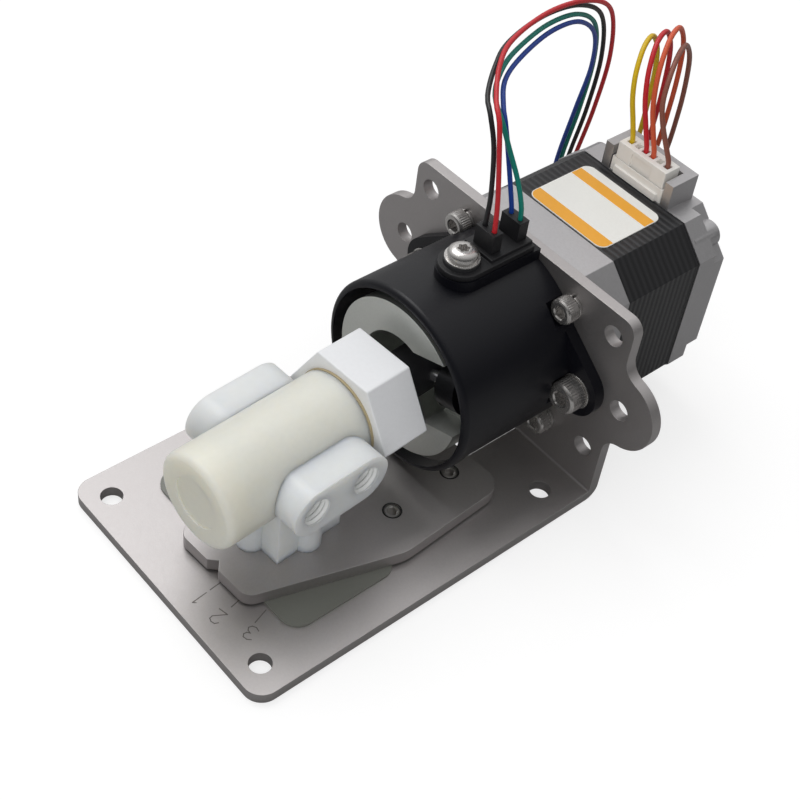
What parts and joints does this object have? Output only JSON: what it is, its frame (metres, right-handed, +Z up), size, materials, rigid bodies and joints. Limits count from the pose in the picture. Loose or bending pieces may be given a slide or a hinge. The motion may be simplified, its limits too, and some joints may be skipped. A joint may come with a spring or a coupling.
{
  "type": "valveless piston pump",
  "caption": "Motor-driven valveless metering pump: a turning piston in a tilting ceramic-lined head, on a bent steel bracket with an angle scale.",
  "frame": {"origin": "centre of the four base holes on the underside of the bracket", "axes": "+X along the pump axis towards the motor, -Y the near side in the picture, +Z up"},
  "size_m": [0.1536, 0.083, 0.0891],
  "materials": {
    "bracket_steel": "satin, warm grey",
    "slide_plastic": "thin greenish grey sheet",
    "screw_steel": "bright, stainless",
    "grub_steel": "black oxide",
    "port_plastic": "milky, slightly translucent",
    "head_plastic": "ivory, smooth",
    "nut_plastic": "white, smooth",
    "gasket_rubber": "tan",
    "seal_plastic": "white, waxy",
    "ceramic": "polished ceramic",
    "cap_plastic": "black",
    "pin_steel": "polished",
    "cup_aluminium": "satin, turned",
    "bearing_steel": "polished",
    "cover_plastic": "near black, fine grain",
    "sensor_plastic": "black",
    "bell_aluminium": "die cast, machined",
    "stack_steel": "black laminations",
    "copper": "enamelled copper wire",
    "rotor_steel": "ground",
    "label_paper": "white label with orange bands",
    "plug_plastic": "white nylon",
    "lead_black": "insulation",
    "lead_red": "insulation",
    "lead_blue": "insulation",
    "lead_green": "insulation",
    "lead_yellow": "insulation",
    "lead_orange": "insulation",
    "lead_brown": "insulation"
  },
  "bodies": {
    "base": {"bracket": "bracket_steel", "slide_sheet": "slide_plastic", "pivot_pin": "screw_steel", "pivot_washer": "slide_plastic", "cover": "cover_plastic", "cover_screws": "screw_steel", "cover_washers": "screw_steel", "sensor_body": "sensor_plastic", "sensor_screw": "screw_steel", "sensor_washer": "screw_steel", "sensor_plug_front": "sensor_plastic", "sensor_plug_rear": "sensor_plastic", "motor_front_bell": "bell_aluminium", "motor_stack": "stack_steel", "motor_windings": "copper", "motor_rear_bell": "bell_aluminium", "front_bearing": "bearing_steel", "rear_bearing": "bearing_steel", "motor_screws": "screw_steel", "spring_washers": "screw_steel", "case_screws": "screw_steel", "motor_label": "label_paper", "motor_socket": "plug_plastic", "motor_plug": "plug_plastic", "lead_black": "lead_black", "lead_red": "lead_red", "lead_blue": "lead_blue", "lead_green": "lead_green", "sensor_lead_coil": "lead_blue", "lead_yellow": "lead_yellow", "lead_motor_red": "lead_red", "lead_orange": "lead_orange", "lead_brown": "lead_brown", "motor_lead_coil": "lead_yellow"},
    "spindle": {"motor_shaft": "pin_steel", "motor_rotor": "rotor_steel", "drive_cup": "cup_aluminium", "cup_set_screw": "grub_steel", "bearing_race": "bearing_steel", "bearing_ball": "bearing_steel"},
    "swivel": {"swivel_plate": "bracket_steel", "lock_screws": "grub_steel", "head_foot": "port_plastic", "foot_screws": "screw_steel", "pump_head": "head_plastic", "ceramic_liner": "ceramic", "head_gasket": "gasket_rubber", "piston_seal": "seal_plastic", "gland_nut": "nut_plastic", "port_block_left": "port_plastic", "port_block_right": "port_plastic"},
    "piston": {"piston": "ceramic", "piston_cap": "cap_plastic", "drive_pin": "pin_steel"}
  },
  "joints": [
    {"name": "spindle_spin", "type": "hinge", "parent": "base", "child": "spindle", "pos_m": [0.02, 0, 0.0275], "axis": [1, 0, 0], "continuous": true},
    {"name": "head_swivel", "type": "hinge", "parent": "base", "child": "swivel", "pos_m": [0.02, 0, 0.003], "axis": [0, 0, 1], "range_deg": [-3.6, 14.4]},
    {"name": "piston_turn", "type": "hinge", "parent": "swivel", "child": "piston", "pos_m": [0.02, 0, 0.0275], "axis": [0.998, 0.0628, 0], "continuous": true}
  ],
  "couplings": [
    {"joint": "piston_turn", "follows": "spindle_spin", "ratio": 1}
  ]
}
